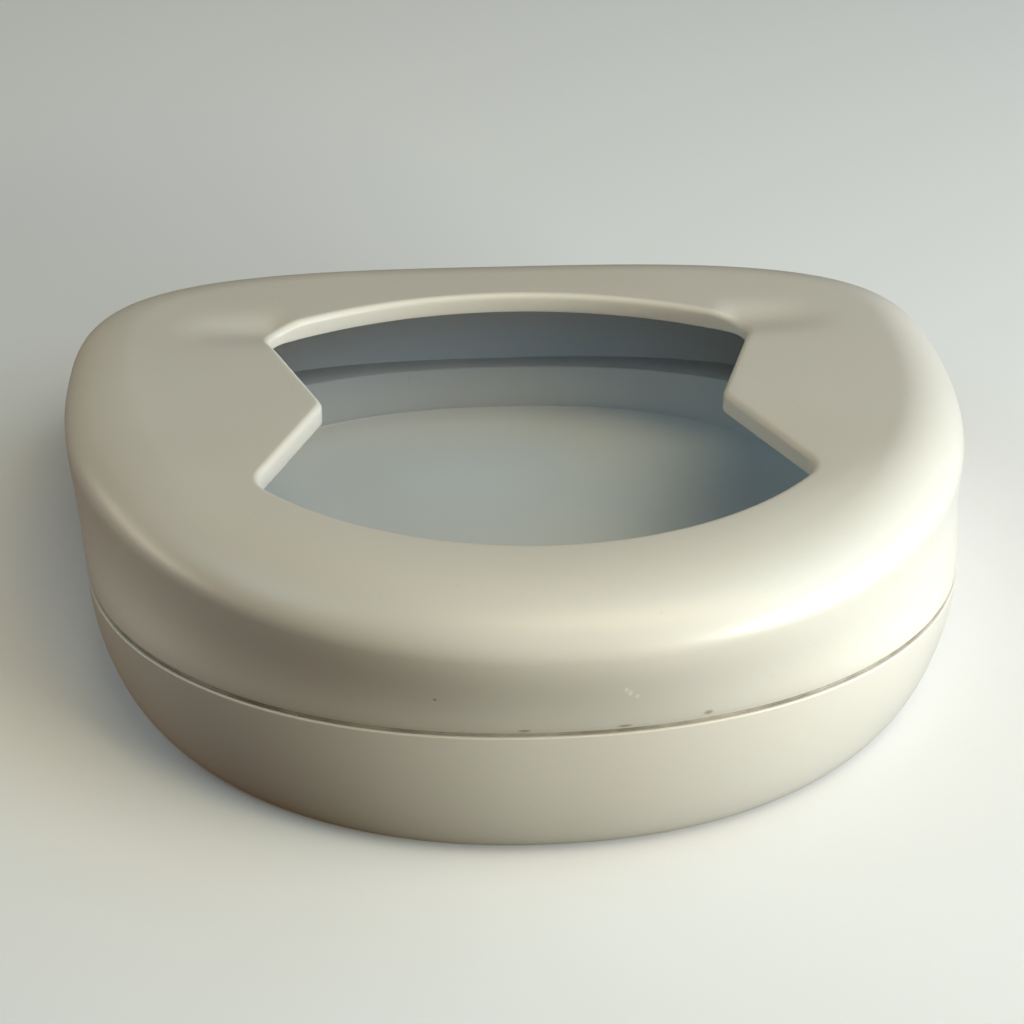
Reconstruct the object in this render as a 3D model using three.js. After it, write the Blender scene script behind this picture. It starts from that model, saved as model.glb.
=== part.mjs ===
// A bedpan for a bed patient: an upper seat moulding and a lower basin moulding, both in thick glossy
// plastic, joined for good by a bead of weld and sealant along the seam between them.
// Millimetres, +Z up, the front towards -Y. The pan is a wedge: its base slopes up towards the back under the
// level seat. Every shape is drawn with the seat level and the front edge of the base at z 0. At the end the
// pan is stood on its base, with the origin under its middle.
import * as THREE from "three";
import { ParametricGeometry } from "three/addons/geometries/ParametricGeometry.js";
import { mergeVertices } from "three/addons/utils/BufferGeometryUtils.js";

// Driving dimensions of the whole pan.
const WIDTH = 360;
const DEPTH = 297;
const HEIGHT = 111;
const WALL = 3;

// The seat moulding: where it is widest, its roll-over, and the skirt under it. The skirt slopes in to the
// seam, is drawn in a little at its waist, and turns in over a last share of its height.
const BULGE_Z = 91;
const BULGE_FRONT = 147;
const ROLL_IN = 26;
const WAIST_DRAW = 0.5;
const TURN_IN = 0.8;
const TURN_IN_SHARE = 0.2;
const SWELL_ROUND = 0.45;
const SWELL_POWER = 1.8;
const SEAM_Z = 57;

// The opening: a front lobe and a back lobe that meet at a narrow waist, with a down-turned lip.
const OPENING_FRONT = 103;
const OPENING_BACK = 101;
const OPENING_WAIST = 77;
const OPENING_WAIST_Y = 5;
const FRONT_LOBE_RADIUS = 131;
const BACK_LOBE_RADIUS = 180;
const FRONT_CORNER = { x: 101, y: -51 };
const BACK_CORNER = { x: 98, y: 61 };
const LOBE_CORNER_RADIUS = 13;
const WAIST_CORNER_RADIUS = 9;
const LIP_DROP = 8.5;
const LIP_EDGE_RADIUS = 2.5;

// The basin moulding: how far its flat base rises for each millimetre towards the back, how the bowl curves
// in to the base, its floor, and the spigot that stands up inside the skirt.
const BASE_SLOPE = 0.165;
const BASE_CURVE = 1.9;
const FLOOR_THICKNESS = 4;
const SPIGOT_RISE = 8;
const SPIGOT_INSET = 6.2;

// The joint between the mouldings: the bead's thickness, how far it sits back, and the gap that stands in
// for each bonded face.
const BEAD_THICKNESS = 1.2;
const BEAD_SETBACK = 0.8;
const GAP = 0.3;

// Facets: round the pan, along a curve of the profile, along the lip's edge, and along the skirt.
const AROUND = 84;
const CURVE_STEPS = 5;
const EDGE_STEPS = 3;
const SKIRT_STEPS = 8;
const CLIMB_SPACING = 1.2;
const OUTLINE_STEPS = 720;
const MERGE_DISTANCE = 0.001;

// Plan outlines: half the width, the reach to the front and to the back of the origin, where the outline is
// widest, and the super-ellipse powers of its front and back halves.
const BULGE = {
  half: WIDTH / 2,
  front: BULGE_FRONT,
  back: DEPTH - BULGE_FRONT,
  widest: 60,
  frontPower: 2.09,
  backPower: 3.15,
};
const SEAM = { half: 169.5, front: 139, back: 134, widest: -1.5, frontPower: 2.14, backPower: 2.6 };
const BASE = { half: 156, front: 125, back: 128, widest: 1.5, frontPower: 2.15, backPower: 2.45 };
const SPIGOT_INSIDE_POWER = 2.35;

// A closed outline made of two half super-ellipses, run anticlockwise from the middle of the front.
class PanOutline extends THREE.Curve {
  constructor(shape) {
    super();
    this.shape = shape;
    this.arcLengthDivisions = OUTLINE_STEPS;
  }

  getPoint(t, target = new THREE.Vector2()) {
    const { half, front, back, widest, frontPower, backPower } = this.shape;
    const angle = (t - 0.25) * 2 * Math.PI;
    const side = Math.cos(angle);
    const depth = Math.sin(angle);
    const power = 2 / (depth < 0 ? frontPower : backPower);
    const reach = depth < 0 ? front + widest : back - widest;
    const x = half * Math.sign(side) * Math.abs(side) ** power;
    const y = widest + reach * Math.sign(depth) * Math.abs(depth) ** power;
    return target.set(x, y);
  }
}

function blend(a, b, share) {
  const between = {};
  for (const key of Object.keys(a)) between[key] = a[key] + (b[key] - a[key]) * share;
  return between;
}

function inset(shape, distance) {
  return {
    ...shape,
    half: shape.half - distance,
    front: shape.front - distance,
    back: shape.back - distance,
  };
}

// One station of a profile: the pan's outline at one height.
function ring(shape, z) {
  return new PanOutline(shape).getSpacedPoints(AROUND).map((p) => new THREE.Vector3(p.x, p.y, z));
}

// The side of a direction that points away from the opening, as the outline runs anticlockwise.
function outwards(dir) {
  return new THREE.Vector2(dir.y, -dir.x);
}

// The arc of radius r that rounds the corner between a lobe's circle and a straight side through start, along
// dir. Its centre is back along dir when sense is -1, and on along it when sense is 1.
function lobeCornerCentre(start, dir, lobeCentreY, lobeRadius, r, sense) {
  const from = start.clone().addScaledVector(outwards(dir), -r);
  const toStart = from.clone().sub(new THREE.Vector2(0, lobeCentreY));
  const along = toStart.dot(dir);
  const root = Math.sqrt((lobeRadius - r) ** 2 - toStart.lengthSq() + along ** 2);
  return from.addScaledVector(dir, sense * root - along);
}

// The opening's outline, moved outwards by grow, run anticlockwise from the middle of its front.
function openingPath(grow) {
  const waist = new THREE.Vector2(OPENING_WAIST, OPENING_WAIST_Y);
  const frontCorner = new THREE.Vector2(FRONT_CORNER.x, FRONT_CORNER.y);
  const backCorner = new THREE.Vector2(BACK_CORNER.x, BACK_CORNER.y);
  const frontDir = waist.clone().sub(frontCorner).normalize();
  const backDir = backCorner.clone().sub(waist).normalize();
  const frontStart = frontCorner.clone().addScaledVector(outwards(frontDir), grow);
  const backStart = waist.clone().addScaledVector(outwards(backDir), grow);
  const frontRadius = FRONT_LOBE_RADIUS + grow;
  const backRadius = BACK_LOBE_RADIUS + grow;
  const cornerRadius = LOBE_CORNER_RADIUS + grow;
  const waistRadius = WAIST_CORNER_RADIUS - grow;

  const frontY = FRONT_LOBE_RADIUS - OPENING_FRONT;
  const frontCentre = lobeCornerCentre(frontStart, frontDir, frontY, frontRadius, cornerRadius, -1);
  const backY = OPENING_BACK - BACK_LOBE_RADIUS;
  const backCentre = lobeCornerCentre(backStart, backDir, backY, backRadius, cornerRadius, 1);

  // The waist's arc bulges into the opening. Its centre is outside, where the two straight sides would meet
  // if they were moved out by its radius.
  const frontOut = frontStart.clone().addScaledVector(outwards(frontDir), waistRadius);
  const backOut = backStart.clone().addScaledVector(outwards(backDir), waistRadius);
  const between = backOut.clone().sub(frontOut);
  const reach = between.cross(backDir) / frontDir.cross(backDir);
  const waistCentre = frontOut.clone().addScaledVector(frontDir, reach);

  const frontTouch = Math.atan2(frontCentre.y - frontY, frontCentre.x);
  const backTouch = Math.atan2(backCentre.y - backY, backCentre.x);
  const frontNormal = Math.atan2(-frontDir.x, frontDir.y);
  const backNormal = Math.atan2(-backDir.x, backDir.y);

  const path = new THREE.Path();
  const down = -Math.PI / 2;
  const up = Math.PI / 2;
  const turn = Math.PI;
  path.absarc(0, frontY, frontRadius, down, frontTouch, false);
  path.absarc(frontCentre.x, frontCentre.y, cornerRadius, frontTouch, frontNormal, false);
  path.absarc(waistCentre.x, waistCentre.y, waistRadius, frontNormal + turn, backNormal + turn, true);
  path.absarc(backCentre.x, backCentre.y, cornerRadius, backNormal, backTouch, false);
  path.absarc(0, backY, backRadius, backTouch, up, false);
  path.absarc(0, backY, backRadius, up, turn - backTouch, false);
  path.absarc(-backCentre.x, backCentre.y, cornerRadius, turn - backTouch, turn - backNormal, false);
  path.absarc(-waistCentre.x, waistCentre.y, waistRadius, -backNormal, -frontNormal, true);
  path.absarc(-frontCentre.x, frontCentre.y, cornerRadius, turn - frontNormal, turn - frontTouch, false);
  path.absarc(0, frontY, frontRadius, turn - frontTouch, 2 * turn + down, false);
  return path;
}

function openingRing(grow, z) {
  return openingPath(grow).getSpacedPoints(AROUND).map((p) => new THREE.Vector3(p.x, p.y, z));
}

// A closed surface through a list of rings. The list starts and ends with the same ring, or with rings
// shrunk to a point.
function loft(rings) {
  const last = rings.length - 1;
  const onRings = (u, v, target) => {
    const station = rings[Math.round(v * last)];
    return target.copy(station[Math.round(u * AROUND) % AROUND]);
  };
  const surface = new ParametricGeometry(onRings, AROUND, last);
  surface.deleteAttribute("normal");
  surface.deleteAttribute("uv");
  const closed = mergeVertices(surface, MERGE_DISTANCE);
  closed.computeVertexNormals();
  return closed;
}

// The skirt's outside at a height.
function skirtShape(z) {
  const up = (z - SEAM_Z) / (BULGE_Z - SEAM_Z);
  const round = 0.5 - 0.5 * Math.cos(Math.PI * up);
  const straight = 1 - (1 - up) ** SWELL_POWER;
  const swell = straight + (round - straight) * SWELL_ROUND;
  const draw = WAIST_DRAW * Math.sin(Math.PI * up) ** 2;
  const turn = TURN_IN * Math.max(0, 1 - up / TURN_IN_SHARE) ** 2;
  return inset(blend(SEAM, BULGE, swell), draw + turn);
}

// Shares from 0 to 1, and angles from 0 to a right angle, in equal steps.
function steps(count) {
  return Array.from({ length: count + 1 }, (_, i) => i / count);
}

function quarterTurn(count) {
  return steps(count).map((share) => (share * Math.PI) / 2);
}

function seatShell() {
  const edgeZ = SEAM_Z + BEAD_THICKNESS / 2 + GAP;
  const skirt = steps(SKIRT_STEPS).map((share) => edgeZ + (BULGE_Z - edgeZ) * share);
  const roll = quarterTurn(CURVE_STEPS);
  const rise = HEIGHT - BULGE_Z;
  const lipFoot = HEIGHT - LIP_DROP;
  const rings = [];
  for (const z of skirt) rings.push(ring(skirtShape(z), z));
  for (const a of roll.slice(1)) {
    rings.push(ring(inset(BULGE, ROLL_IN * (1 - Math.cos(a))), BULGE_Z + rise * Math.sin(a)));
  }
  for (const a of quarterTurn(EDGE_STEPS)) {
    const grow = LIP_EDGE_RADIUS * (1 - Math.sin(a));
    rings.push(openingRing(grow, HEIGHT - LIP_EDGE_RADIUS * (1 - Math.cos(a))));
  }
  rings.push(openingRing(0, lipFoot));
  rings.push(openingRing(WALL, lipFoot));
  rings.push(openingRing(WALL, HEIGHT - WALL));
  for (const a of roll.slice(1).reverse()) {
    const inwards = WALL + (ROLL_IN - WALL) * (1 - Math.cos(a));
    rings.push(ring(inset(BULGE, inwards), BULGE_Z + (rise - WALL) * Math.sin(a)));
  }
  for (const z of skirt.slice().reverse()) rings.push(ring(inset(skirtShape(z), WALL), z));
  rings.push(rings[0]);
  return loft(rings);
}

// How far in towards the base the bowl has curved, when it has come down by a share of its height.
function bowlCurve(down) {
  return 1 - (1 - down ** BASE_CURVE) ** (1 / BASE_CURVE);
}

// One station of the bowl: up is 0 on the sloping base and 1 at the level top, and lift raises the base.
function bowlRing(shape, up, top, lift) {
  return ring(shape, top).map((point) => {
    const low = BASE_SLOPE * (point.y + BASE.front) + lift;
    return point.setZ(low + (top - low) * up);
  });
}

function basinShell() {
  const shoulderZ = SEAM_Z - BEAD_THICKNESS / 2 - GAP;
  const spigotTop = SEAM_Z + SPIGOT_RISE;
  const spigotOutside = inset(SEAM, SPIGOT_INSET);
  const spigotInside = { ...inset(SEAM, SPIGOT_INSET + WALL), backPower: SPIGOT_INSIDE_POWER };
  const floor = inset(BASE, WALL);
  const point = { ...BASE, half: 0, front: 0, back: 0, widest: 0 };
  const climb = quarterTurn(2 * CURVE_STEPS).map((a) => Math.sin(a) ** CLIMB_SPACING);
  const rings = [bowlRing(point, 0, shoulderZ, 0)];
  for (const up of climb) rings.push(bowlRing(blend(SEAM, BASE, bowlCurve(1 - up)), up, shoulderZ, 0));
  rings.push(ring(spigotOutside, shoulderZ));
  rings.push(ring(spigotOutside, spigotTop));
  rings.push(ring(spigotInside, spigotTop));
  for (const up of climb.slice().reverse()) {
    const shape = blend(spigotInside, floor, bowlCurve(1 - up));
    rings.push(bowlRing(shape, up, shoulderZ, FLOOR_THICKNESS));
  }
  rings.push(bowlRing(point, 0, shoulderZ, FLOOR_THICKNESS));
  return loft(rings);
}

// The bead fills the groove between the skirt's edge and the basin's shoulder, set back from the outside.
function seamBead() {
  const outside = inset(SEAM, BEAD_SETBACK);
  const inside = inset(SEAM, TURN_IN + WALL);
  const half = BEAD_THICKNESS / 2;
  const rings = [
    ring(inside, SEAM_Z - half),
    ring(outside, SEAM_Z - half),
    ring(outside, SEAM_Z + half),
    ring(inside, SEAM_Z + half),
  ];
  rings.push(rings[0]);
  return loft(rings);
}

function piece(name, geometry, finish) {
  const mesh = new THREE.Mesh(geometry, new THREE.MeshStandardMaterial({ metalness: 0, ...finish }));
  mesh.name = name;
  return mesh;
}

const bedpan = new THREE.Group();
bedpan.add(piece("seat_shell", seatShell(), { color: 0xb8b09c, roughness: 0.28 }));
bedpan.add(piece("basin_shell", basinShell(), { color: 0xb6ae9a, roughness: 0.3 }));
bedpan.add(piece("seam_bead", seamBead(), { color: 0x4f473c, roughness: 0.6 }));

// Stand the pan on its base, with the origin under its middle.
const stand = new THREE.Matrix4().makeRotationX(-Math.atan(BASE_SLOPE));
const bounds = new THREE.Box3();
for (const { geometry } of bedpan.children) {
  geometry.applyMatrix4(stand);
  geometry.computeBoundingBox();
  bounds.union(geometry.boundingBox);
}
const middleY = (bounds.min.y + bounds.max.y) / 2;
for (const { geometry } of bedpan.children) geometry.translate(0, -middleY, -bounds.min.z);

export default bedpan;
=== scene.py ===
import math

import bmesh
import bpy
import numpy as np
from mathutils import Matrix, Vector


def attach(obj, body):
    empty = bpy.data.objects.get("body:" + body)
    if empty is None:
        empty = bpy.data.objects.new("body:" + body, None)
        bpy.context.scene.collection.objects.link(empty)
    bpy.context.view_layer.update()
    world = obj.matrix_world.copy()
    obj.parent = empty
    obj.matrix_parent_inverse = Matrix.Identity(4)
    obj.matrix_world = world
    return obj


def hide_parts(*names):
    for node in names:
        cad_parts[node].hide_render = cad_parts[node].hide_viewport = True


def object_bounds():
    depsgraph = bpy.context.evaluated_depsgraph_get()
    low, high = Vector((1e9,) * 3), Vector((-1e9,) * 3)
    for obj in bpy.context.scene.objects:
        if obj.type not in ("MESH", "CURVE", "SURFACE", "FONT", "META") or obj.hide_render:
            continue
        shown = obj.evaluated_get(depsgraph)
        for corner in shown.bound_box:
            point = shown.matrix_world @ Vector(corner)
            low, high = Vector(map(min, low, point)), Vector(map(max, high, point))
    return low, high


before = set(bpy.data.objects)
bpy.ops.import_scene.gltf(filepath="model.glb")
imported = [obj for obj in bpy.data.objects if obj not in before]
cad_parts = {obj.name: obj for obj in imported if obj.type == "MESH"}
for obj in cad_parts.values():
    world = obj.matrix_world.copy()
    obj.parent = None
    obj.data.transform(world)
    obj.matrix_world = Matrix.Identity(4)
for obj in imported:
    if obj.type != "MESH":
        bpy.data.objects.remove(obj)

MM = 0.001
CAD_LOW, CAD_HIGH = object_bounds()

# Driving dimensions. They are the CAD part's, except that the lip is a little shorter and the seam
# shallower, and that the crown, the valleys, the dish and the marks are only here. Shapes are drawn with
# the seat level and the front edge of the base at height 0, then turned to stand on the base, which slopes
# up towards the back.
WIDTH = CAD_HIGH.x - CAD_LOW.x
DEPTH = 297 * MM
HEIGHT = 111 * MM
WALL = 3 * MM

# The outside bulges widest at one height, rolls over onto the top, and draws in below to the seam.
BULGE_Z = 91 * MM
BULGE_FRONT = 147 * MM
ROLL_IN = 26 * MM
WAIST_DRAW = 0.5 * MM
TURN_IN = 0.4 * MM
TURN_IN_SHARE = 0.2
SWELL_ROUND = 0.45
SWELL_POWER = 1.8
SEAM_Z = 57 * MM

# The opening: two round lobes, and straight sides that meet at a narrow waist. Corners are given before
# rounding.
OPENING_FRONT = 103 * MM
OPENING_BACK = 101 * MM
OPENING_WAIST = np.array([77, 5]) * MM
FRONT_CORNER = np.array([101, -51]) * MM
BACK_CORNER = np.array([98, 61]) * MM
FRONT_LOBE_RADIUS = 131 * MM
BACK_LOBE_RADIUS = 180 * MM
LOBE_CORNER_RADIUS = 13 * MM
WAIST_CORNER_RADIUS = 9 * MM
LIP_FOOT_Z = HEIGHT - 8.2 * MM
LIP_EDGE_RADIUS = 2.5 * MM
LIP_FOOT_RADIUS = 0.4 * MM

# The front rim is crowned: it falls away from the opening's edge, by a share of a full ellipse. The crown
# starts and is full where the bulge has come forward by these shares of its reach.
CROWN_SHARE = 0.8
CROWN_START = 0.3
CROWN_FULL = 0.9

# A soft valley runs outwards across the top from behind each back corner of the opening.
VALLEY_DEPTH = 2.4 * MM
VALLEY_Y = 73 * MM
VALLEY_HALF_WIDTH = 11 * MM
VALLEY_LEAD = 12 * MM
VALLEY_RUN = 48 * MM
VALLEY_FADE_START = 0.05
VALLEY_FADE_END = 0.5

# Small marks on the front wall are centred this far in front of the middle, and reach this far through it.
FRONT_WALL_REACH = 143 * MM
MARK_DEPTH = 25 * MM

# The basin's base and bowl, the spigot that goes up inside the seat's skirt, and the bead in the seam.
BASE_SLOPE = 0.165
BASE_CURVE = 1.9
CLIMB_SPACING = 1.6
FLOOR_THICKNESS = 4 * MM
SPIGOT_RISE = 8 * MM
SPIGOT_INSET = 6.2 * MM
BEAD_THICKNESS = 1.2 * MM
BEAD_SETBACK = 0.6 * MM
BEAD_SPREAD = 0.25 * MM
GAP = 0.3 * MM
EDGE_RADIUS = 0.6 * MM

# The shallow dish in the middle of the floor: its depth, its middle, its reach, and where its edge starts.
DISH_DEPTH = 0.9 * MM
DISH_Y = -25 * MM
DISH_HALF_WIDTH = 95 * MM
DISH_HALF_DEPTH = 68 * MM
DISH_EDGE = 0.78

# Facets of the fine meshes: points round each ring, and rings along each stretch.
AROUND = 480
OUTLINE_STEPS = 2880
ARC_STEPS = 40
EDGE_STEPS = 4
SKIRT_STEPS = 43
ROLL_STEPS = 22
TOP_STEPS = 40
LIP_EDGE_STEPS = 10
LIP_STEPS = 5
INNER_TOP_STEPS = 8
INNER_ROLL_STEPS = 12
INNER_SKIRT_STEPS = 29
BASE_STEPS = 11
BOWL_STEPS = 47
SPIGOT_STEPS = 5
FLOOR_STEPS = 59
BEAD_STEPS = 8

# Plan outlines: half the width, the reach to the front and to the back, where the outline is widest, and the
# super-ellipse powers of its front and back halves.
BULGE = np.array([WIDTH / 2, BULGE_FRONT, DEPTH - BULGE_FRONT, 60 * MM, 2.09, 3.15])
SEAM = np.array([169.5 * MM, 139 * MM, 134 * MM, -1.5 * MM, 2.14, 2.6])
BASE = np.array([156 * MM, 125 * MM, 128 * MM, 1.5 * MM, 2.15, 2.45])
SPIGOT_INSIDE_POWER = 2.35
FRONT_REACH = 1
BACK_POWER = 5
REACHES = np.array([1, 1, 1, 0, 0, 0])


def inset(shape, distance):
    """A plan outline moved inwards."""
    return shape - REACHES * distance


def blend(a, b, share):
    """From a at share 0 to b at share 1."""
    return a + (b - a) * share


def smooth(value, start, end):
    """A smooth step from 0 at start to 1 at end."""
    t = np.clip((value - start) / (end - start), 0, 1)
    return t * t * (3 - 2 * t)


def evenly(points):
    """AROUND points spaced evenly along a closed line, which starts at the middle of the front."""
    closed = np.vstack([points, points[:1]])
    lengths = np.hypot(*np.diff(closed, axis=0).T)
    along = np.concatenate([[0], np.cumsum(lengths)])
    wanted = np.arange(AROUND) / AROUND * along[-1]
    return np.stack([np.interp(wanted, along, closed[:, 0]), np.interp(wanted, along, closed[:, 1])], 1)


def pan_outline(shape):
    """The points of a plan outline, from the middle of its front, anticlockwise."""
    half, front, back, widest, front_power, back_power = shape
    angle = np.arange(OUTLINE_STEPS) / OUTLINE_STEPS * 2 * math.pi - math.pi / 2
    side, depth = np.cos(angle), np.sin(angle)
    power = 2 / np.where(depth < 0, front_power, back_power)
    reach = np.where(depth < 0, front + widest, back - widest)
    x = half * np.sign(side) * np.abs(side) ** power
    y = widest + reach * np.sign(depth) * np.abs(depth) ** power
    return evenly(np.stack([x, y], 1))


def arc(centre, radius, start, end):
    angle = np.linspace(start, end, ARC_STEPS)
    return np.stack([centre[0] + radius * np.cos(angle), centre[1] + radius * np.sin(angle)], 1)


def unit(vector):
    return vector / np.linalg.norm(vector)


def right_of(direction):
    return np.array([direction[1], -direction[0]])


def lobe_corner(start, direction, lobe_y, lobe_radius, radius, sense):
    """The centre of the arc that rounds the corner between a lobe's circle and a straight side.
    The side goes through start along direction, and sense picks the corner behind or ahead along it."""
    origin = start - right_of(direction) * radius
    offset = origin - np.array([0, lobe_y])
    along = offset @ direction
    root = math.sqrt((lobe_radius - radius) ** 2 - offset @ offset + along**2)
    return origin + direction * (-along + sense * root)


def cross(a, b):
    """The cross product of two plan vectors."""
    return a[0] * b[1] - a[1] * b[0]


def opening_outline(grow):
    """The opening's outline, moved outwards by grow, from the middle of its front, anticlockwise."""
    front_dir = unit(OPENING_WAIST - FRONT_CORNER)
    back_dir = unit(BACK_CORNER - OPENING_WAIST)
    front_start = FRONT_CORNER + right_of(front_dir) * grow
    back_start = OPENING_WAIST + right_of(back_dir) * grow
    corner = LOBE_CORNER_RADIUS + grow
    waist = WAIST_CORNER_RADIUS - grow
    front_radius, back_radius = FRONT_LOBE_RADIUS + grow, BACK_LOBE_RADIUS + grow
    front_y = FRONT_LOBE_RADIUS - OPENING_FRONT
    back_y = OPENING_BACK - BACK_LOBE_RADIUS
    front_centre = lobe_corner(front_start, front_dir, front_y, front_radius, corner, -1)
    back_centre = lobe_corner(back_start, back_dir, back_y, back_radius, corner, 1)
    front_out = front_start + right_of(front_dir) * waist
    back_out = back_start + right_of(back_dir) * waist
    waist_centre = front_out + front_dir * cross(back_out - front_out, back_dir) / cross(front_dir, back_dir)
    front_touch = math.atan2(front_centre[1] - front_y, front_centre[0])
    back_touch = math.atan2(back_centre[1] - back_y, back_centre[0])
    front_normal = math.atan2(-front_dir[0], front_dir[1])
    back_normal = math.atan2(-back_dir[0], back_dir[1])
    right = np.vstack(
        [
            arc((0, front_y), front_radius, -math.pi / 2, front_touch),
            arc(front_centre, corner, front_touch, front_normal),
            arc(waist_centre, waist, front_normal + math.pi, back_normal + math.pi),
            arc(back_centre, corner, back_normal, back_touch),
            arc((0, back_y), back_radius, back_touch, math.pi / 2),
        ]
    )
    left = right[::-1][1:-1] * [-1, 1]
    return evenly(np.vstack([right, left]))


def ring(outline, z):
    """An outline's points at a height, or at a height for each point."""
    return np.column_stack([outline, np.broadcast_to(z, len(outline))])


def quarter(count, skip_first=True):
    """Angles of a quarter turn."""
    angles = np.linspace(0, math.pi / 2, count + 1)
    return angles[1:] if skip_first else angles


def stood(points):
    """Points of the level seat's frame, turned so that the base is level."""
    turn = np.array(Matrix.Rotation(-math.atan(BASE_SLOPE), 3, "X"))
    return points @ turn.T


def mesh_piece(name, rings, inside, poles, material):
    """A closed surface through rings. Poles are the points that close its two ends, or none if it closes on
    itself. inside says how far each ring is on the pan's inner side, from 0 to 1."""
    count = len(rings)
    points = np.vstack(rings)
    values = np.repeat(np.array(inside, dtype=float), AROUND)
    faces = []
    for r in range(count if not poles else count - 1):
        low, high = r * AROUND, (r + 1) % count * AROUND
        for i in range(AROUND):
            j = (i + 1) % AROUND
            faces.append((low + i, low + j, high + j, high + i))
    if poles:
        first, last = count * AROUND, count * AROUND + 1
        points = np.vstack([points, poles])
        values = np.concatenate([values, [inside[0], inside[-1]]])
        top = (count - 1) * AROUND
        for i in range(AROUND):
            j = (i + 1) % AROUND
            faces.append((first, j, i))
            faces.append((last, top + i, top + j))
    mesh = bpy.data.meshes.new(name)
    mesh.from_pydata((stood(points) + SHIFT).tolist(), [], faces)
    shade = mesh.attributes.new("inside", "FLOAT", "POINT")
    shade.data.foreach_set("value", values.astype(np.float32))
    work = bmesh.new()
    work.from_mesh(mesh)
    bmesh.ops.recalc_face_normals(work, faces=work.faces)
    work.to_mesh(mesh)
    work.free()
    mesh.shade_smooth()
    mesh.materials.append(material)
    piece = bpy.data.objects.new(name, mesh)
    bpy.context.scene.collection.objects.link(piece)
    return piece


# Shapes.


def skirt_shape(z):
    """The skirt's outside at a height: it slopes in from the bulge, and turns in a little over the seam."""
    up = (z - SEAM_Z) / (BULGE_Z - SEAM_Z)
    round_ = 0.5 - 0.5 * math.cos(math.pi * up)
    straight = 1 - (1 - up) ** SWELL_POWER
    draw = WAIST_DRAW * math.sin(math.pi * up) ** 2
    turn = TURN_IN * max(0, 1 - up / TURN_IN_SHARE) ** 2
    return inset(blend(SEAM, BULGE, blend(straight, round_, SWELL_ROUND)), draw + turn)


def valley(outline, share):
    """Depth of the valley beyond each back corner. Share is 1 at the opening and 0 at the roll-over."""
    beyond = np.abs(outline[:, 0]) - BACK_CORNER[0]
    across = np.exp(-(((outline[:, 1] - VALLEY_Y) / VALLEY_HALF_WIDTH) ** 2))
    along = smooth(beyond, -VALLEY_LEAD, 0) * (1 - smooth(beyond, 0, VALLEY_RUN))
    return VALLEY_DEPTH * across * along * smooth(share, VALLEY_FADE_START, VALLEY_FADE_END)


def crown(distance, reach, front):
    """How far the front rim lies below a flat top with a round edge, at a distance in from the bulge."""
    rise = HEIGHT - BULGE_Z
    flat = rise * np.sqrt(1 - (1 - np.minimum(distance / ROLL_IN, 1)) ** 2)
    round_ = rise * np.sqrt(1 - (1 - distance / reach) ** 2)
    return CROWN_SHARE * front * (flat - round_)


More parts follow.
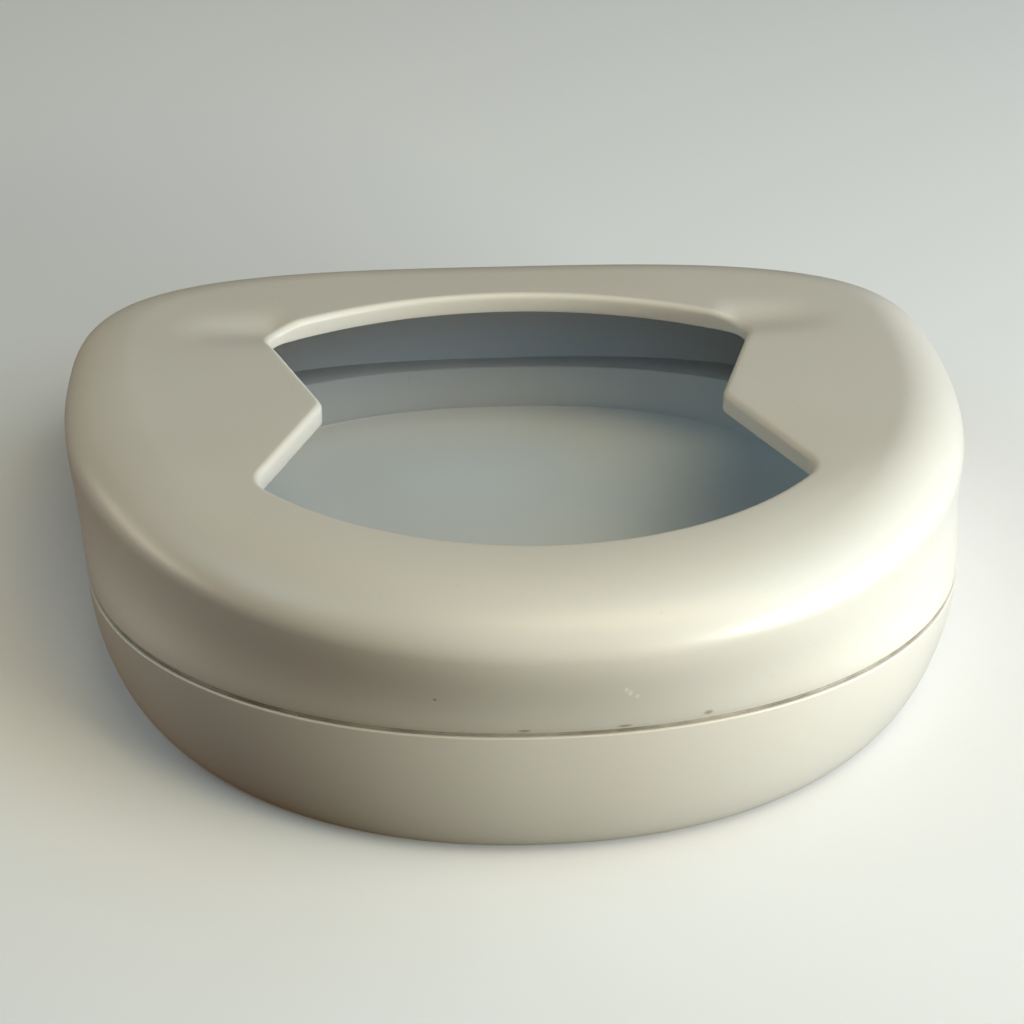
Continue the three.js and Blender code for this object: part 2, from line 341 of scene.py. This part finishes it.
def seat_rings():
    """The seat's surface: up the skirt, over the roll and the top, round the lip, and back down inside."""
    edge_z = SEAM_Z + BEAD_THICKNESS / 2 + GAP
    rise = HEIGHT - BULGE_Z
    rings, inside = [], []

    def add(points, value):
        rings.append(points)
        inside.append(value)

    for a in quarter(EDGE_STEPS, skip_first=False):
        z = edge_z + EDGE_RADIUS * (1 - math.cos(a))
        add(ring(pan_outline(inset(skirt_shape(edge_z), EDGE_RADIUS * (1 - math.sin(a)))), z), 0)
    for z in np.linspace(edge_z + EDGE_RADIUS, BULGE_Z, SKIRT_STEPS + 1)[1:]:
        add(ring(pan_outline(skirt_shape(z)), z), 0)
    outer = pan_outline(inset(BULGE, ROLL_IN))
    edge = opening_outline(LIP_EDGE_RADIUS)
    across = np.hypot(*(outer - edge).T)
    reach = ROLL_IN + across
    front = smooth(-pan_outline(BULGE)[:, 1] / BULGE_FRONT, CROWN_START, CROWN_FULL)
    for a in quarter(ROLL_STEPS):
        inwards = ROLL_IN * (1 - math.cos(a))
        drop = crown(inwards, reach, front)
        add(ring(pan_outline(inset(BULGE, inwards)), BULGE_Z + rise * math.sin(a) - drop), 0)
    for share in np.linspace(0, 1, TOP_STEPS + 1)[1:]:
        outline = blend(outer, edge, share)
        drop = crown(ROLL_IN + share * across, reach, front)
        add(ring(outline, HEIGHT - valley(outline, share) - drop), 0)
    dip = valley(edge, 1)
    for a in quarter(LIP_EDGE_STEPS):
        outline = opening_outline(LIP_EDGE_RADIUS * (1 - math.sin(a)))
        add(ring(outline, HEIGHT - dip - LIP_EDGE_RADIUS * (1 - math.cos(a))), 0)
    lip = opening_outline(0)
    lip_top = HEIGHT - dip - LIP_EDGE_RADIUS
    foot = LIP_FOOT_Z + LIP_FOOT_RADIUS
    for share in np.linspace(0, 1, LIP_STEPS + 1)[1:]:
        add(ring(lip, blend(lip_top, foot, share)), 0)
    for a in quarter(EDGE_STEPS):
        outline = opening_outline(LIP_FOOT_RADIUS * (1 - math.cos(a)))
        add(ring(outline, foot - LIP_FOOT_RADIUS * math.sin(a)), 0)
    under = opening_outline(WALL)
    add(ring(opening_outline(WALL - LIP_FOOT_RADIUS), LIP_FOOT_Z), 1)
    add(ring(under, foot), 1)
    add(ring(under, HEIGHT - valley(under, 1) - WALL), 1)
    for share in np.linspace(1, 0, INNER_TOP_STEPS + 1)[1:-1]:
        outline = blend(outer, under, share)
        drop = crown(ROLL_IN + share * across, reach, front)
        add(ring(outline, HEIGHT - WALL - valley(outline, share) - drop), 1)
    for a in quarter(INNER_ROLL_STEPS, skip_first=False)[::-1]:
        inwards = WALL + (ROLL_IN - WALL) * (1 - math.cos(a))
        drop = crown(inwards, reach, front) * math.sin(a)
        add(ring(pan_outline(inset(BULGE, inwards)), BULGE_Z + (rise - WALL) * math.sin(a) - drop), 1)
    for z in np.linspace(BULGE_Z, edge_z, INNER_SKIRT_STEPS + 1)[1:]:
        add(ring(pan_outline(inset(skirt_shape(z), WALL)), z), 1)
    return rings, inside


def bowl_curve(down):
    """How far in towards the base the bowl has curved, when it has come down by a share of its height."""
    return 1 - (1 - down**BASE_CURVE) ** (1 / BASE_CURVE)


def base_height(y):
    """The height of the sloping base, which is 0 at its front edge."""
    return BASE_SLOPE * (y + BASE[FRONT_REACH])


def bowl_ring(outline, up, top, lift):
    """One ring of the bowl. Up is 0 on the sloping base and 1 at the level top, and lift raises the base."""
    low = base_height(outline[:, 1]) + lift
    return ring(outline, blend(low, top, up))


def floor_ring(outline):
    """The floor, with a shallow dish in its middle."""
    reach = np.hypot(outline[:, 0] / DISH_HALF_WIDTH, (outline[:, 1] - DISH_Y) / DISH_HALF_DEPTH)
    dish = DISH_DEPTH * (1 - smooth(reach, DISH_EDGE, 1))
    return ring(outline, base_height(outline[:, 1]) + FLOOR_THICKNESS - dish)


def basin_rings():
    """The basin's surface: along the base, up the bowl, over the shoulder and spigot, and down inside."""
    shoulder_z = SEAM_Z - BEAD_THICKNESS / 2 - GAP
    spigot_top = SEAM_Z + SPIGOT_RISE
    edge_z = SEAM_Z + BEAD_THICKNESS / 2 + GAP
    spigot_inside = inset(SEAM, SPIGOT_INSET + WALL)
    spigot_inside[BACK_POWER] = SPIGOT_INSIDE_POWER
    floor = inset(BASE, WALL)
    clear = WALL + GAP
    climb = np.sin(np.linspace(0, math.pi / 2, BOWL_STEPS + 1)) ** CLIMB_SPACING
    edge_share = 1 - EDGE_RADIUS / shoulder_z
    rings, inside = [], []

    def add(points, value):
        rings.append(points)
        inside.append(value)

    for share in np.linspace(0, 1, BASE_STEPS + 1)[1:-1]:
        outline = pan_outline(BASE) * share
        add(ring(outline, base_height(outline[:, 1])), 0)
    for up in climb[climb < edge_share]:
        add(bowl_ring(pan_outline(blend(SEAM, BASE, bowl_curve(1 - up))), up, shoulder_z, 0), 0)
    for a in quarter(EDGE_STEPS, skip_first=False):
        z = shoulder_z - EDGE_RADIUS * (1 - math.sin(a))
        add(ring(pan_outline(inset(SEAM, EDGE_RADIUS * (1 - math.cos(a)))), z), 0)
    add(ring(pan_outline(inset(skirt_shape(edge_z), clear)), shoulder_z), 0.5)
    for z in np.linspace(edge_z, spigot_top - EDGE_RADIUS, SPIGOT_STEPS + 1):
        add(ring(pan_outline(inset(skirt_shape(z), clear)), z), 1)
    add(ring(pan_outline(inset(skirt_shape(spigot_top), clear + EDGE_RADIUS)), spigot_top), 1)
    for a in quarter(EDGE_STEPS, skip_first=False):
        outline = pan_outline(inset(spigot_inside, -EDGE_RADIUS * (1 - math.sin(a))))
        add(ring(outline, spigot_top - EDGE_RADIUS * (1 - math.cos(a))), 1)
    for up in climb[::-1]:
        outline = pan_outline(blend(spigot_inside, floor, bowl_curve(1 - up)))
        add(bowl_ring(outline, up, shoulder_z, FLOOR_THICKNESS), 1)
    for share in np.linspace(1, 0, FLOOR_STEPS + 1)[1:-1]:
        add(floor_ring(pan_outline(floor) * share), 1)
    return rings, inside


def bead_rings():
    """The bead's surface: a flat strip with a round outer edge."""
    outside = inset(SEAM, BEAD_SETBACK)
    inner = inset(SEAM, TURN_IN + WALL)
    half = BEAD_THICKNESS / 2 + BEAD_SPREAD
    rings = [ring(pan_outline(inner), SEAM_Z - half)]
    for a in np.linspace(-math.pi / 2, math.pi / 2, BEAD_STEPS + 1):
        outline = pan_outline(inset(outside, half * (1 - math.cos(a))))
        rings.append(ring(outline, SEAM_Z + half * math.sin(a)))
    rings.append(ring(pan_outline(inner), SEAM_Z + half))
    return rings, [0] * len(rings)


# Materials: colours, and the scales of the noise textures, per metre.

OUTER = (0.80, 0.725, 0.64, 1)
AGED = (0.78, 0.70, 0.61, 1)
INNER = (0.73, 0.745, 0.75, 1)
SPECK = (0.42, 0.34, 0.25, 1)
SCUFF = (0.92, 0.88, 0.81, 1)
# A dark colour for the speck on the front wall, and for the painted shade of notches and burrs along the
# seam.
GRIME_AND_NOTCH_SHADE = (0.42, 0.35, 0.27, 1)
SEALANT_DARK = (0.26, 0.21, 0.15, 1)
SEALANT_PALE = (0.50, 0.43, 0.34, 1)
FLOOR_COLOUR = (0.92, 0.88, 0.87, 1)

CLOUD_SCALE = 9
SPECK_SCALE = 420
SMEAR_SCALE = 22
PEEL_SCALE = 260
RIPPLE_SCALE = 16
RIPPLE_HEIGHT = 6.0
BUMP_DEPTH = 0.08 * MM
SEALANT_GRIME_SCALE = 60
SEALANT_GRAIN_SCALE = 150


def new_material(name):
    """A material, its node tree, its shader, and the position on the piece for its textures."""
    material = bpy.data.materials.new(name)
    material.use_nodes = True
    tree = material.node_tree
    place = tree.nodes.new("ShaderNodeTexCoord").outputs["Object"]
    return material, tree, tree.nodes["Principled BSDF"], place


def noise(tree, place, scale, detail, stretch=(1, 1, 1)):
    mapping = tree.nodes.new("ShaderNodeMapping")
    mapping.inputs["Scale"].default_value = stretch
    tree.links.new(place, mapping.inputs["Vector"])
    node = tree.nodes.new("ShaderNodeTexNoise")
    node.inputs["Scale"].default_value = scale
    node.inputs["Detail"].default_value = detail
    tree.links.new(mapping.outputs["Vector"], node.inputs["Vector"])
    return node.outputs["Fac"]


def ramp(tree, value, start, end, low, high):
    """A smooth step from low, where the value is start, to high, where it is end."""
    node = tree.nodes.new("ShaderNodeMapRange")
    node.interpolation_type = "SMOOTHSTEP"
    for socket, number in zip(("From Min", "From Max", "To Min", "To Max"), (start, end, low, high)):
        node.inputs[socket].default_value = number
    tree.links.new(value, node.inputs["Value"])
    return node.outputs["Result"]


def mix(tree, share, a, b):
    """From colour a to colour b. Each colour is a socket or a plain colour."""
    node = tree.nodes.new("ShaderNodeMix")
    node.data_type = "RGBA"
    factor, colour_a, colour_b = node.inputs[0], node.inputs[6], node.inputs[7]
    tree.links.new(share, factor)
    for socket, value in ((colour_a, a), (colour_b, b)):
        if isinstance(value, bpy.types.NodeSocket):
            tree.links.new(value, socket)
        else:
            socket.default_value = value
    return node.outputs[2]


def multiply_add(tree, value, factor, addend):
    node = tree.nodes.new("ShaderNodeMath")
    node.operation = "MULTIPLY_ADD"
    tree.links.new(value, node.inputs[0])
    node.inputs[1].default_value = factor
    tree.links.new(addend, node.inputs[2])
    return node.outputs["Value"]


def vector_math(tree, operation, vector, by):
    node = tree.nodes.new("ShaderNodeVectorMath")
    node.operation = operation
    tree.links.new(vector, node.inputs[0])
    node.inputs[1].default_value = by
    return node.outputs["Vector"]


def spot(tree, place, centre, reach):
    """A soft mark that is 1 at its centre and fades to 0 at its reach along each axis."""
    away = vector_math(tree, "SUBTRACT", place, centre)
    length = tree.nodes.new("ShaderNodeVectorMath")
    length.operation = "LENGTH"
    tree.links.new(vector_math(tree, "DIVIDE", away, reach), length.inputs[0])
    return ramp(tree, length.outputs["Value"], 0.3, 1, 1, 0)


def front_mark(x, level_z, half_width, half_height, tint):
    """A mark on the front wall, placed by its offset to the right and its height with the seat level."""
    centre = stood(np.array([x, -FRONT_WALL_REACH, level_z])) + SHIFT
    return centre.tolist(), (half_width, MARK_DEPTH, half_height), tint


def moulded_plastic(name, marks):
    """Off-white gloss plastic, yellowed outside in faint clouds, with fine specks, smears and orange peel."""
    material, tree, shader, place = new_material(name)
    side = tree.nodes.new("ShaderNodeAttribute")
    side.attribute_name = "inside"

    clouds = ramp(tree, noise(tree, place, CLOUD_SCALE, 3), 0.35, 0.7, 0, 1)
    outside = mix(tree, clouds, OUTER, AGED)
    colour = mix(tree, side.outputs["Fac"], outside, INNER)
    specks = ramp(tree, noise(tree, place, SPECK_SCALE, 2), 0.7, 0.78, 0, 0.12)
    colour = mix(tree, specks, colour, SPECK)
    for centre, reach, tint in marks:
        colour = mix(tree, spot(tree, place, centre, reach), colour, tint)
    tree.links.new(colour, shader.inputs["Base Color"])

    smears = noise(tree, place, SMEAR_SCALE, 4, stretch=(1, 1, 2.5))
    tree.links.new(ramp(tree, smears, 0.3, 0.75, 0.38, 0.43), shader.inputs["Roughness"])
    peel = noise(tree, place, PEEL_SCALE, 2)
    ripple = noise(tree, place, RIPPLE_SCALE, 1)
    bump = tree.nodes.new("ShaderNodeBump")
    bump.inputs["Strength"].default_value = 0.35
    bump.inputs["Distance"].default_value = BUMP_DEPTH
    tree.links.new(multiply_add(tree, ripple, RIPPLE_HEIGHT, peel), bump.inputs["Height"])
    tree.links.new(bump.outputs["Normal"], shader.inputs["Normal"])
    shader.inputs["IOR"].default_value = 1.49
    shader.inputs["Specular IOR Level"].default_value = 0.9
    shader.inputs["Subsurface Weight"].default_value = 0.12
    shader.inputs["Subsurface Radius"].default_value = (1.0, 0.7, 0.45)
    shader.inputs["Subsurface Scale"].default_value = 3 * MM
    return material


def sealant(name):
    """Matt, dirty brown sealant."""
    material, tree, shader, place = new_material(name)
    grime = ramp(tree, noise(tree, place, SEALANT_GRIME_SCALE, 4), 0.3, 0.7, 0, 1)
    tree.links.new(mix(tree, grime, SEALANT_DARK, SEALANT_PALE), shader.inputs["Base Color"])
    grain = noise(tree, place, SEALANT_GRAIN_SCALE, 2)
    tree.links.new(ramp(tree, grain, 0.3, 0.7, 0.5, 0.75), shader.inputs["Roughness"])
    return material


# The pieces. SHIFT puts the standing pan on the floor and centres it from front to back, as the CAD part is.

seat_surface, seat_side = seat_rings()
basin_surface, basin_side = basin_rings()
bead_surface, bead_side = bead_rings()
everything = stood(np.vstack(seat_surface + basin_surface))
LOW, HIGH = everything.min(axis=0), everything.max(axis=0)
SHIFT = np.array([0, (CAD_LOW.y + CAD_HIGH.y - LOW[1] - HIGH[1]) / 2, CAD_LOW.z - LOW[2]])
STAND = Matrix.Translation(SHIFT.tolist()) @ Matrix.Rotation(-math.atan(BASE_SLOPE), 4, "X")

# A scuff and a speck on the front wall, and dark dots of painted shade where small notches and burrs break
# the seam.
SEAT_MARKS = [
    front_mark(20 * MM, 78 * MM, 1.0 * MM, 1.8 * MM, SCUFF),
    front_mark(21.5 * MM, 76 * MM, 1.2 * MM, 2.2 * MM, SCUFF),
    front_mark(24 * MM, 74 * MM, 1.0 * MM, 1.4 * MM, SCUFF),
    front_mark(-43 * MM, 73 * MM, 0.9 * MM, 0.9 * MM, GRIME_AND_NOTCH_SHADE),
    # Painted shade: dark dots just above the seam, where small notches and burrs fall in shade.
    front_mark(-13 * MM, 58.8 * MM, 3.0 * MM, 1.0 * MM, GRIME_AND_NOTCH_SHADE),
    front_mark(21 * MM, 58.8 * MM, 3.5 * MM, 1.0 * MM, GRIME_AND_NOTCH_SHADE),
    front_mark(50 * MM, 59.5 * MM, 2.5 * MM, 1.6 * MM, GRIME_AND_NOTCH_SHADE),
]

poles = [(0, 0, base_height(0)), (0, 0, base_height(0) + FLOOR_THICKNESS - DISH_DEPTH)]
seat = mesh_piece("seat_moulding", seat_surface, seat_side, None, moulded_plastic("seat_plastic", SEAT_MARKS))
basin = mesh_piece("basin_moulding", basin_surface, basin_side, poles, moulded_plastic("basin_plastic", []))
bead = mesh_piece("weld_bead", bead_surface, bead_side, None, sealant("seam_sealant"))

for piece, node, slot in (
    (seat, "seat_shell", "seat_plastic"),
    (basin, "basin_shell", "basin_plastic"),
    (bead, "seam_bead", "seam_sealant"),
):
    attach(piece, "root")
    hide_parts(node)


# The stage: a pale floor, soft studio light and the camera. Lights and camera are placed round the level
# pan, then turned with it.

FLOOR_REACH = 3.0
LIGHT_DISTANCE = 1.6

CAMERA_AZIMUTH = math.radians(-6)
CAMERA_ELEVATION = math.radians(27)
CAMERA_ROLL = math.radians(1.1)
CAMERA_PITCH = math.radians(3.26)
CAMERA_YAW = math.radians(0.37)
CAMERA_DISTANCE = 0.768
CAMERA_TARGET = Vector((0, 4 * MM, HEIGHT))
LENS = 70.3
SENSOR = 36


def pale_floor():
    """A floor that takes shadows, and is hidden from the pan's own reflections and bounced light."""
    corners = [(x * FLOOR_REACH, y * FLOOR_REACH, 0) for x, y in ((-1, -1), (1, -1), (1, 1), (-1, 1))]
    mesh = bpy.data.meshes.new("floor")
    mesh.from_pydata(corners, [], [(0, 1, 2, 3)])
    material = bpy.data.materials.new("floor")
    material.use_nodes = True
    shader = material.node_tree.nodes["Principled BSDF"]
    shader.inputs["Base Color"].default_value = FLOOR_COLOUR
    shader.inputs["Roughness"].default_value = 0.85
    mesh.materials.append(material)
    floor = bpy.data.objects.new("floor", mesh)
    floor.visible_diffuse = False
    floor.visible_glossy = False
    bpy.context.scene.collection.objects.link(floor)


def area_light(name, azimuth, elevation, width, height, power, colour):
    """A soft light that faces the pan. Azimuth 0 is straight in front, and positive is to the right."""
    a, e = math.radians(azimuth), math.radians(elevation)
    away = Vector((math.sin(a) * math.cos(e), -math.cos(a) * math.cos(e), math.sin(e)))
    light = bpy.data.lights.new(name, "AREA")
    light.shape = "RECTANGLE"
    light.size = width
    light.size_y = height
    light.energy = power
    light.color = colour
    lamp = bpy.data.objects.new(name, light)
    place = Matrix.Translation(Vector((0, 0, HEIGHT / 2)) + away * LIGHT_DISTANCE)
    lamp.matrix_world = STAND @ place @ away.to_track_quat("Z", "Y").to_matrix().to_4x4()
    bpy.context.scene.collection.objects.link(lamp)


def faint_world(colour, strength):
    studio = bpy.data.worlds.new("studio")
    studio.use_nodes = True
    background = studio.node_tree.nodes["Background"]
    background.inputs["Color"].default_value = colour
    background.inputs["Strength"].default_value = strength
    bpy.context.scene.world = studio


def camera():
    """The camera looks from above the front, a little left. Pitch and yaw move the pan off the middle."""
    tilt = Matrix.Rotation(math.pi / 2 - CAMERA_ELEVATION, 4, "X")
    heading = Matrix.Rotation(CAMERA_AZIMUTH, 4, "Z") @ tilt
    back = heading.to_3x3() @ Vector((0, 0, 1))
    roll = Matrix.Rotation(CAMERA_ROLL, 4, "Z")
    aim = heading @ roll @ Matrix.Rotation(-CAMERA_PITCH, 4, "X") @ Matrix.Rotation(CAMERA_YAW, 4, "Y")
    data = bpy.data.cameras.new("camera")
    data.lens = LENS
    data.sensor_width = SENSOR
    eye = bpy.data.objects.new("camera", data)
    eye.matrix_world = STAND @ Matrix.Translation(CAMERA_TARGET + back * CAMERA_DISTANCE) @ aim
    bpy.context.scene.collection.objects.link(eye)
    bpy.context.scene.camera = eye


pale_floor()
# Name, azimuth and elevation in degrees, width and height in metres, watts, colour.
area_light("key", 60, 4, 1.0, 0.25, 26.3, (0.86, 1.0, 0.81))
area_light("key_cool", 75, 4, 1.0, 0.25, 9.0, (0.29, 0.33, 1.0))
area_light("key_fill", 62, 30, 1.1, 0.8, 4.6, (0.90, 0.92, 0.95))
area_light("front_low", 30, 8, 1.0, 0.3, 1.2, (1.0, 0.50, 0.12))
area_light("overhead", 55, 58, 0.7, 0.7, 5.0, (1.0, 0.72, 0.34))
area_light("high", 20, 70, 0.7, 0.6, 3.6, (1.0, 0.95, 0.62))
area_light("right", 85, 50, 1.1, 1.1, 5.6, (0.12, 0.62, 1.0))
area_light("front", 0, 35, 1.0, 0.7, 1.5, (0.43, 0.74, 1.0))
area_light("left", -80, 46, 0.9, 0.8, 3.7, (0.58, 0.88, 1.0))
area_light("left_low", -100, 4, 1.0, 0.25, 5.0, (1.0, 0.87, 0.65))
area_light("back", 180, 66, 0.8, 0.8, 0.8, (1.0, 0.77, 0.52))
faint_world((1.0, 0.5, 0.15, 1), 0.035)
camera()
bpy.context.scene.view_settings.view_transform = "Standard"
